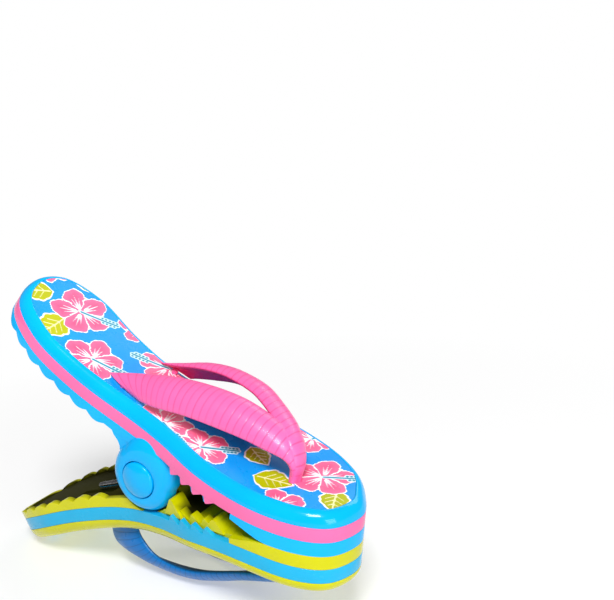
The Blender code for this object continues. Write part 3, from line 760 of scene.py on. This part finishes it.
def button(name, side):
    """The domed cap, with a rolled edge."""
    hollow = RETAINER_RADIUS + 0.3
    ceiling = BUTTON_SEAT + RETAINER_THICK + 0.9
    shoulder, roll, turn = BUTTON_TOP - 1.7, (0.9, 0.75), 55
    profile = [(hollow, BUTTON_SEAT), (BUTTON_RADIUS - 0.2, BUTTON_SEAT), (BUTTON_RADIUS, BUTTON_SEAT + 0.2)]
    profile += arc((BUTTON_RADIUS - roll[0], shoulder), roll, 0, turn, 5)
    low = shoulder + roll[1] * math.sin(math.radians(turn))
    edge = BUTTON_RADIUS - roll[0] + roll[0] * math.cos(math.radians(turn))
    for i in range(1, 11):
        share = i / 10
        profile.append((edge * (1 - share), low + (BUTTON_TOP - low) * (1 - (1 - share) ** 2)))
    profile += [(0, ceiling), (hollow, ceiling)]
    return turned(name, profile, side=side)


def ring_profile(inner, outer, low, high, soft=0.1):
    """The (radius, y) profile of a plain ring with its edges broken."""
    return [
        (inner, low + soft), (inner + soft, low), (outer - soft, low), (outer, low + soft),
        (outer, high - soft), (outer - soft, high), (inner + soft, high), (inner, high - soft),
    ]


def spring(name):
    """The wire, swept as one smooth tube: a leg, the coil and the other leg."""
    tilt = math.radians(LEG_ANGLE)
    start, sweep = 1.5 * math.pi - tilt, 2 * math.pi * COIL_TURNS - (math.pi - 2 * tilt)
    width = COIL_PITCH * sweep / (2 * math.pi)
    count = COIL_STEPS * COIL_TURNS
    coil = []
    for i in range(count + 1):
        angle = start + sweep * i / count
        y = -width / 2 + width * i / count
        coil.append(Vector((COIL_RADIUS * math.cos(angle), y, COIL_RADIUS * math.sin(angle))))
    rear = Vector((-math.cos(tilt), 0, -math.sin(tilt))) * LEG_LENGTH
    other = Vector((rear.x, 0, -rear.z))
    legs = [i / LEG_STEPS for i in range(1, LEG_STEPS + 1)]
    centre = [coil[0] + rear * share for share in legs[::-1]] + coil
    centre += [coil[-1] + other * share for share in legs]
    bm = bmesh.new()
    rings = []
    for i, point in enumerate(centre):
        along = (centre[min(i + 1, len(centre) - 1)] - centre[max(i - 1, 0)]).normalized()
        across = Vector((0, 1, 0)) - along * along.y
        across.normalize()
        third = along.cross(across)
        radius = WIRE_RADIUS * (0.8 if i in (0, len(centre) - 1) else 0.98)
        turns = [2 * math.pi * k / WIRE_SIDES for k in range(WIRE_SIDES)]
        ring = [point + (across * math.cos(turn) + third * math.sin(turn)) * radius for turn in turns]
        rings.append([bm.verts.new(place) for place in ring])
    skin(bm, rings)
    bmesh.ops.translate(bm, vec=(HINGE_X, 0, 0), verts=bm.verts)
    return solid(name, bm)


# --- the strap ---
def curve_through(knots, count):
    """Catmull-Rom through rows of numbers, at an even spacing of the parameter."""
    rows = np.asarray(knots, float)
    padded = np.vstack([2 * rows[0] - rows[1], rows, 2 * rows[-1] - rows[-2]])
    where = np.linspace(0, len(rows) - 1, count)
    i = np.minimum(where.astype(int), len(rows) - 2)
    u = (where - i)[:, None]
    a, b, c, d = padded[i], padded[i + 1], padded[i + 2], padded[i + 3]
    return 0.5 * (2 * b + (c - a) * u + (2 * a - 5 * b + 4 * c - d) * u**2 + (3 * b - a - 3 * c + d) * u**3)


def unit(rows):
    return rows / np.maximum(np.linalg.norm(rows, axis=-1, keepdims=True), 1e-9)


def far_arm_place(s):
    start, reach = FAR_ARM_REACH
    return np.where(s > start, start + (s - start) * reach, s)


def strap_arm(name, side, stations, bulge):
    """One arm as a closed grid: an arched, ribbed top and a plain underside. Its groove attribute says
    where shade is painted into the material: in the grooves and on the underside."""
    rows = curve_through(stations, ALONG)
    centre, share, s_in, n_in, t_in, s_out, n_out, t_out = rows.T
    if side > 0:
        t_in = t_in - CROSSING * (1 - smoothstep(*CROSSING_SPAN, s_in))
        s_in, s_out = far_arm_place(s_in), far_arm_place(s_out)
    inner = bent(np.stack([s_in, centre + side * t_in, n_in], 1))
    outer = bent(np.stack([s_out, centre + side * t_out, n_out], 1))
    chord = outer - inner
    width = np.linalg.norm(chord, axis=1)[:, None]
    middle = (inner + outer) / 2
    along = unit(np.gradient(middle, axis=0))
    normal = unit(-side * np.cross(along, chord))
    arch = bulge * np.minimum(1.0, width / STRAP_FULL_WIDTH) * share[:, None] ** 2
    run = np.concatenate([[0], np.cumsum(np.linalg.norm(np.diff(middle, axis=0), axis=1))])
    groove = np.exp(-(((run / RIB_PITCH + 0.5) % 1 - 0.5) * RIB_PITCH / GROOVE_WIDTH) ** 2)
    groove *= smoothstep(0, 3, run) * smoothstep(0, 2.0, run[-1] - run)
    bm = bmesh.new()
    layer = bm.verts.layers.float.new("groove")
    rings = []
    shares = 0.5 - 0.5 * np.cos(np.linspace(0, math.pi, ACROSS))
    thick = (STRAP_THICK * share)[:, None] * 0.96
    columns = []
    for top in (1, -1):
        for u in shares if top > 0 else shares[::-1]:
            rise = 4 * u * (1 - u) * arch * width
            leaning = unit(normal + (u - 0.5) * 3.2 * arch * unit(chord))
            edge = (1 - abs(2 * u - 1) ** 6) ** 0.5 * 0.5
            half_thick = thick * (0.12 + 0.76 * edge)
            cut = groove[:, None] * GROOVE_DEPTH * (top > 0) * min(1.0, edge * 2.5)
            columns.append(inner + chord * u + normal * rise + leaning * top * (half_thick - cut))
    grid = np.stack(columns, 1)
    # painted shade on the underside, faded out near the toe post
    underside = smoothstep(7, 14, run)
    for i in range(ALONG):
        ring = []
        for k in range(grid.shape[1]):
            vert = bm.verts.new(grid[i, k])
            # the groove layer holds painted shade: in the grooves on top, and on the underside
            vert[layer] = float(groove[i]) * GROOVE_SHADE if k < ACROSS else float(underside[i])
            ring.append(vert)
        rings.append(ring)
    skin(bm, rings)
    return solid(name, bm)


def strap(name, half):
    """Both arms and the pegs, joined. It is made on the upper sole and flipped for the lower one."""
    upper, lower = (UPPER_STRAP, UPPER_STRAP_BULGE), (LOWER_STRAP, LOWER_STRAP_BULGE)
    stations, bulge = upper if half == UPPER else lower
    obj = strap_arm(name, -1, stations, bulge)
    combine(obj, "UNION", strap_arm(name + "_far_arm", 1, stations, bulge))
    for s, t, radius in PEGS:
        bm = post(s, t, radius, -2.2, 4.9)
        flat = np.array([vert.co for vert in bm.verts])
        for vert, point in zip(bm.verts, bent(flat)):
            vert.co = point
        combine(obj, "UNION", bm)
    if half == LOWER:
        for vert in obj.data.vertices:
            vert.co.z *= -1
        obj.data.flip_normals()
    return obj


# --- the prints ---
# Flowers: centre s, t, radius, turn of the first petal and where the stamen points, in degrees.
FLOWERS = (
    (112.0, 3.6, 9.6, 20, 145), (94.6, -7.6, 9.2, 65, 160), (79.5, 10.4, 9.4, 50, -24),
    (62.5, -11.6, 8.6, 10, 200), (48.4, -12.2, 8.2, 40, 142), (14.8, -1.6, 8.8, 0, 150),
    (28.0, 14.6, 7.6, 30, 100), (17.8, -20.4, 7.4, 54, 230), (132.0, 7.0, 7.6, 15, 60),
    (97.5, 16.6, 7.2, 40, 40),
)
# Leaves: centre s, t, length, width and the way the tip points, in degrees.
LEAVES = (
    (111.4, -9.0, 11.5, 8.6, 262), (124.6, -4.8, 11.0, 7.4, 292), (121.6, 14.6, 9.0, 6.4, 20),
    (34.6, -3.6, 9.0, 6.6, 205), (24.8, -11.2, 11.0, 8.6, 168), (6.6, -10.2, 9.6, 7.0, 250),
    (36.5, 16.0, 9.0, 6.4, 60),
)
# Rings: centre s, t, radius to the middle of the stroke, and where the gap starts and ends.
RINGS = (
    (113.0, 0.0, 9.6, 250, 310), (92.0, 13.0, 9.0, 100, 150), (74.0, -6.0, 7.0, 20, 70),
    (47.0, -2.0, 8.6, 160, 230), (24.0, 14.0, 9.0, 200, 260), (13.0, -12.0, 8.4, 300, 350),
    (96.0, -16.0, 7.6, 60, 100), (56.0, 15.0, 6.4, 0, 40),
)
WHITE_LINE = 0.5  # width of the white outline round petals and leaves
RING_STROKE = 1.8  # half its width


def capsule(x, y, x0, y0, x1, y1, radius):
    """Distance to a round-ended stroke from one point to another."""
    along, across = x1 - x0, y1 - y0
    share = np.clip(((x - x0) * along + (y - y0) * across) / (along**2 + across**2), 0, 1)
    return np.hypot(x - x0 - share * along, y - y0 - share * across) - radius


def petal_edge(x, y, radius, angle, number):
    """Distance to the edge of one broad, ruffled petal that points at angle from the flower's centre."""
    along = x * math.cos(angle) + y * math.sin(angle)
    across = y * math.cos(angle) - x * math.sin(angle)
    u = along / radius
    bearing = np.arctan2(across, along - radius * 0.6)
    ruffle = 0.03 * np.sin(bearing * 3 + number * 1.7) + 0.016 * np.sin(bearing * 7 + number * 2.9)
    fan = np.hypot((along - radius * 0.63) / 0.98, across * 0.98) - radius * (0.374 + ruffle)
    width = radius * (0.06 + 0.55 * np.clip(u, 0, 1))
    claw = np.maximum(np.abs(across) - width, np.abs(u - 0.3) * radius - radius * 0.3)
    return np.minimum(fan, claw)


def flower_print(s, t):
    """Distances in mm to the edges of the petals, leaves, veins and stamens. Inside is negative."""
    petal, vein = np.full(s.shape, FAR_OFF), np.full(s.shape, FAR_OFF)
    stamen, leaf, leaf_vein = petal.copy(), petal.copy(), petal.copy()
    for number, (cs, ct, radius, turn, toward) in enumerate(FLOWERS):
        x, y = s - cs, t - ct
        rho = np.hypot(x, y)
        for i in (0, 2, 4, 1, 3):
            angle = math.radians(turn + 72 * i)
            edge = petal_edge(x, y, radius, angle, number * 5 + i)
            petal = np.where(edge < WHITE_LINE, edge, petal)
            for offset, start, end in ((0.0, 0.14, 0.74), (0.16, 0.18, 0.62), (-0.16, 0.18, 0.6)):
                tip = angle + offset * 1.4
                reach = (math.cos(tip) * radius, math.sin(tip) * radius)
                line = capsule(x, y, reach[0] * start, reach[1] * start, reach[0] * end, reach[1] * end, 0)
                taper = 0.25 * np.clip(1.12 - rho / (end * radius), 0, 1)
                vein = np.where(edge < WHITE_LINE, np.minimum(vein, line - taper), vein)
        angle = math.radians(toward)
        dx, dy, length = math.cos(angle), math.sin(angle), radius * 1.28
        stem = capsule(x, y, 0, 0, dx * length, dy * length, 0.32)
        for i in range(9):
            share, sway = 0.56 + 0.05 * i, (0.95 if i % 2 else -0.95)
            px, py = dx * length * share - dy * sway, dy * length * share + dx * sway
            stem = np.minimum(stem, np.hypot(x - px, y - py) - 0.42)
        stamen = np.minimum(stamen, stem)
    for number, (cs, ct, length, width, toward) in enumerate(LEAVES):
        angle = math.radians(toward)
        x = (s - cs) * math.cos(angle) + (t - ct) * math.sin(angle)
        y = -(s - cs) * math.sin(angle) + (t - ct) * math.cos(angle)
        y = y - 0.012 * (x * x - length**2 / 4) * (-1) ** number
        u = np.clip(x / length + 0.5, 0, 1)
        lobes = 1 + 0.13 * np.abs(np.sin(u * math.pi * 4)) - 0.06
        swell = np.sin(math.pi * u**0.8) ** 0.95 * lobes
        across = (np.abs(y) - width / 2 * swell) * 0.85
        ends = np.abs(x) - length / 2
        leaf = np.minimum(leaf, np.where(ends > 0, np.hypot(ends, y), across))
        own = np.maximum(np.abs(y) - 0.12, np.abs(x) - length * 0.44)
        for i in range(3):
            root = -length * 0.26 + i * length * 0.2
            slant = np.abs((x - root) - np.abs(y) * 0.8) * 0.78
            own = np.minimum(own, np.maximum(slant - 0.05, np.abs(y) - width / 2 * swell * 0.72))
        leaf_vein = np.where(leaf < 0, np.minimum(leaf_vein, np.where(ends < 0, own, FAR_OFF)), leaf_vein)
    return {"petal": petal, "petal_vein": vein, "stamen": stamen, "leaf": leaf, "leaf_vein": leaf_vein}


def ring_print(s, t):
    """Distance in mm to the edge of the nearest ring. Inside the stroke is negative."""
    ring = np.full(s.shape, FAR_OFF)
    for cs, ct, radius, gap_start, gap_end in RINGS:
        x, y = s - cs, t - ct
        angle = np.degrees(np.arctan2(y, x)) % 360
        stroke = np.abs(np.hypot(x, y) - radius) - RING_STROKE
        middle, half_gap = (gap_start + gap_end) / 2, (gap_end - gap_start) / 2
        away = np.abs((angle - middle + 180) % 360 - 180) - half_gap
        ring = np.minimum(ring, np.maximum(stroke, -np.radians(away) * radius))
    return {"ring": ring}


def finish_piece(obj, body, node, material, sharp):
    """Places a piece, gives it its material and the body it rides on, and hides the node it replaces."""
    to_frame(obj, sharp)
    obj.data.materials.clear()
    obj.data.materials.append(material)
    for face in obj.data.polygons:
        face.material_index = 0
    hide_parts(node)
    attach(obj, body)
    return obj


def shade_inside(obj, half):
    """Stores how deep each vertex is inside the hollow handle and jaw, for the moulded material to paint
    shade by.
    """
    co = np.array([vert.co for vert in obj.data.vertices])
    s_line = np.linspace(-4, SOLE_LENGTH + 4, 1400)
    x, z, slope = spine(s_line)
    near = np.abs(co[:, 0][:, None] - x[None, :]).argmin(1)
    s = s_line[near]
    for _ in range(4):  # steps towards the nearest point of the spine
        x, z, slope = spine(s)
        off_x, off_z = co[:, 0] - x, co[:, 2] * half - RIM_LINE - z
        s = s - off_x * np.cos(slope) + off_z * np.sin(slope)
        depth = off_x * np.sin(slope) + off_z * np.cos(slope)
    edge = np.array(outline(-EASE))
    step = np.roll(edge, -1, axis=0) - edge
    from_edge = np.full(len(s), FAR_OFF)
    for (x0, y0), (dx, dy) in zip(edge, step):
        share = np.clip(((s - x0) * dx + (co[:, 1] - y0) * dy) / (dx * dx + dy * dy), 0, 1)
        from_edge = np.minimum(from_edge, np.hypot(s - x0 - share * dx, co[:, 1] - y0 - share * dy))
    inside = smoothstep(WALL - 0.05, WALL + 0.04, from_edge)
    inside = inside * smoothstep(-RIM_LINE - 0.4, FLOOR - 0.5, depth)
    inside = inside * smoothstep(24, 34, s) * (np.abs(co[:, 1]) < 14.5)
    store(obj, "inside", inside)


# depth: how strongly shade is painted into each shell's hollows
blue = moulded("blue_plastic", (0, 178, 246), 0.15, depth=0.94)
pink = moulded("pink_plastic", (250, 112, 172))
yellow = moulded("yellow_plastic", (206, 204, 0), depth=0.97)
sky = moulded("sky_plastic", (24, 174, 222))
grey = moulded("sleeve_plastic", (95, 98, 102), 0.5)
metal = steel("wire_steel")
# each strap's second colour is its painted shade, for the grooves and underside
pink_band = banded("pink_strap_plastic", (255, 106, 172), (214, 40, 104))
blue_band = banded("blue_strap_plastic", (0, 106, 182), (0, 60, 104))

for half, body, shell, stripe, sheet_look, band, paint in (
    (UPPER, "upper", blue, pink, printed_flowers("flower_print"), pink_band, flower_print),
    (LOWER, "lower", yellow, sky, printed_rings("ring_print"), blue_band, ring_print),
):
    base = body_shell(f"{body}_shell", half)
    (add_bosses if half == UPPER else add_inner_ears)(base)
    shade_inside(base, half)
    group = f"{body}_half"
    finish_piece(base, group, f"{body}_body", shell, 30)
    finish_piece(midsole(f"{body}_stripe", half), group, f"{body}_midsole", stripe, 30)
    finish_piece(footbed(f"{body}_rim", half), group, f"{body}_footbed", shell, 40)
    finish_piece(insole(f"{body}_print", half, paint), group, f"{body}_insole", sheet_look, 40)
    finish_piece(strap(f"{body}_band", half), group, f"{body}_strap", band, 60)

for side, word in ((-1, "near"), (1, "far")):
    finish_piece(button(f"{word}_cap", side), "upper_half", f"{word}_button", blue, 40)
    low, high = BUTTON_SEAT, BUTTON_SEAT + RETAINER_THICK
    profile = ring_profile(PIN_RADIUS + 0.1, RETAINER_RADIUS, low, high)
    washer = turned(f"{word}_push_ring", profile, side=side)
    finish_piece(washer, "upper_half", f"{word}_pin_retainer", metal, 40)

end = BUTTON_SEAT + RETAINER_THICK + 0.6
rod = [(0, -end), (PIN_RADIUS - 0.25, -end), (PIN_RADIUS, 0.25 - end)]
rod += [(radius, -y) for radius, y in rod[::-1]]
finish_piece(turned("pin_rod", rod, 48), "upper_half", "hinge_pin", metal, 40)
reach = INNER_EAR[0] - 0.3
tube = turned("coil_sleeve", ring_profile(PIN_HOLE, SLEEVE_RADIUS, -reach, reach, 0.3), 64)
finish_piece(tube, "lower_half", "spring_sleeve", grey, 40)

wire = spring("spring_wire")
to_frame(wire, 60)
wire.data.materials.append(metal)
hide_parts("torsion_spring")
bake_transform(wire)

# --- floor, light and camera ---
floor_mesh = bpy.data.meshes.new("floor")
floor_mesh.from_pydata([(-6, -6, 0), (6, -6, 0), (6, 6, 0), (-6, 6, 0)], [], [(0, 1, 2, 3)])
floor = linked("floor", floor_mesh)
floor_look = Nodes("floor_paper", 0.9, specular=0.1)
floor_look.colour((0.93, 0.93, 0.93))
away = floor_look.add("VectorMath", {0: floor_look.add("TexCoord").outputs["Object"]})
away.operation = "LENGTH"  # distance from the middle of the floor
fade = floor_look.ramp(away.outputs["Value"], 0.05, 0.24, 0.4, 1.0)  # the floor turns to plain white
glow = floor_look.add("Emission", {"Strength": 1.0}).outputs["Emission"]
spread = floor_look.add("MixShader", {"Fac": fade, 1: floor_look.shader.outputs["BSDF"], 2: glow})
output = floor_look.tree.nodes["Material Output"]
floor_look.put(spread.outputs["Shader"], output.inputs["Surface"])
floor.data.materials.append(floor_look.material)

# Each light: name, place and target in metres, size and power.
LIGHTS = (
    ("key", (0.36, -0.48, 0.84), (0, 0, 0.03), (0.3, 0.3), 10.0),
    ("fill", (0.8, -0.4, 0.22), (0, 0, 0.03), (0.4, 0.4), 3.0),
    ("rim", (0.1, 0.8, 0.7), (0, 0, 0.05), (0.7, 0.3), 2.2),
)
for name, spot, target, size, power in LIGHTS:
    light = bpy.data.lights.new(name, "AREA")
    light.shape = "RECTANGLE"
    light.size, light.size_y = size
    light.energy = power
    lamp = linked(name, light)
    lamp.location = spot
    lamp.rotation_mode = "QUATERNION"
    lamp.rotation_quaternion = (Vector(target) - Vector(spot)).to_track_quat("-Z", "Y")

world = bpy.data.worlds.new("studio")
bpy.context.scene.world = world
world.use_nodes = True
tree = world.node_tree
WORLD_LIGHT, WORLD_SEEN = 0.2, 1.0  # how strongly it lights, and how bright the camera sees it
lit, seen = tree.nodes["Background"], tree.nodes.new("ShaderNodeBackground")
for shader, strength in ((lit, WORLD_LIGHT), (seen, WORLD_SEEN)):
    shader.inputs["Color"].default_value = (1, 1, 1, 1)
    shader.inputs["Strength"].default_value = strength
rays, choose = tree.nodes.new("ShaderNodeLightPath"), tree.nodes.new("ShaderNodeMixShader")
tree.links.new(rays.outputs["Is Camera Ray"], choose.inputs["Fac"])
tree.links.new(lit.outputs["Background"], choose.inputs[1])
tree.links.new(seen.outputs["Background"], choose.inputs[2])
tree.links.new(choose.outputs["Shader"], tree.nodes["World Output"].inputs["Surface"])
bpy.context.scene.view_settings.view_transform = "Standard"

AZIMUTH, ELEVATION, ROLL = (math.radians(angle) for angle in (29.35, 19.33, 3.39))
LOOK_AT, DISTANCE, RIGHT, UP = Vector((-65, -4.3, 0)), 266.03, 40.73, 48.3  # in the clip frame
LENS, SENSOR = 53.045472, 36
flat_x, flat_y = math.sin(AZIMUTH) * math.cos(ELEVATION), -math.cos(AZIMUTH) * math.cos(ELEVATION)
back = Vector((flat_x, flat_y, math.sin(ELEVATION)))
level = Vector((math.cos(AZIMUTH), math.sin(AZIMUTH), 0))
upright = back.cross(level)
right = level * math.cos(ROLL) + upright * math.sin(ROLL)
above = back.cross(right)
eye = LOOK_AT + back * DISTANCE + right * RIGHT + above * UP
camera = linked("camera", bpy.data.cameras.new("camera"))
axes = Matrix((right, above, back)).transposed().to_4x4()
camera.matrix_world = clip @ Matrix.Translation(eye * MM) @ axes
camera.data.sensor_width = SENSOR
camera.data.lens = LENS
camera.data.clip_start, camera.data.clip_end = 0.005, 50
bpy.context.scene.camera = camera
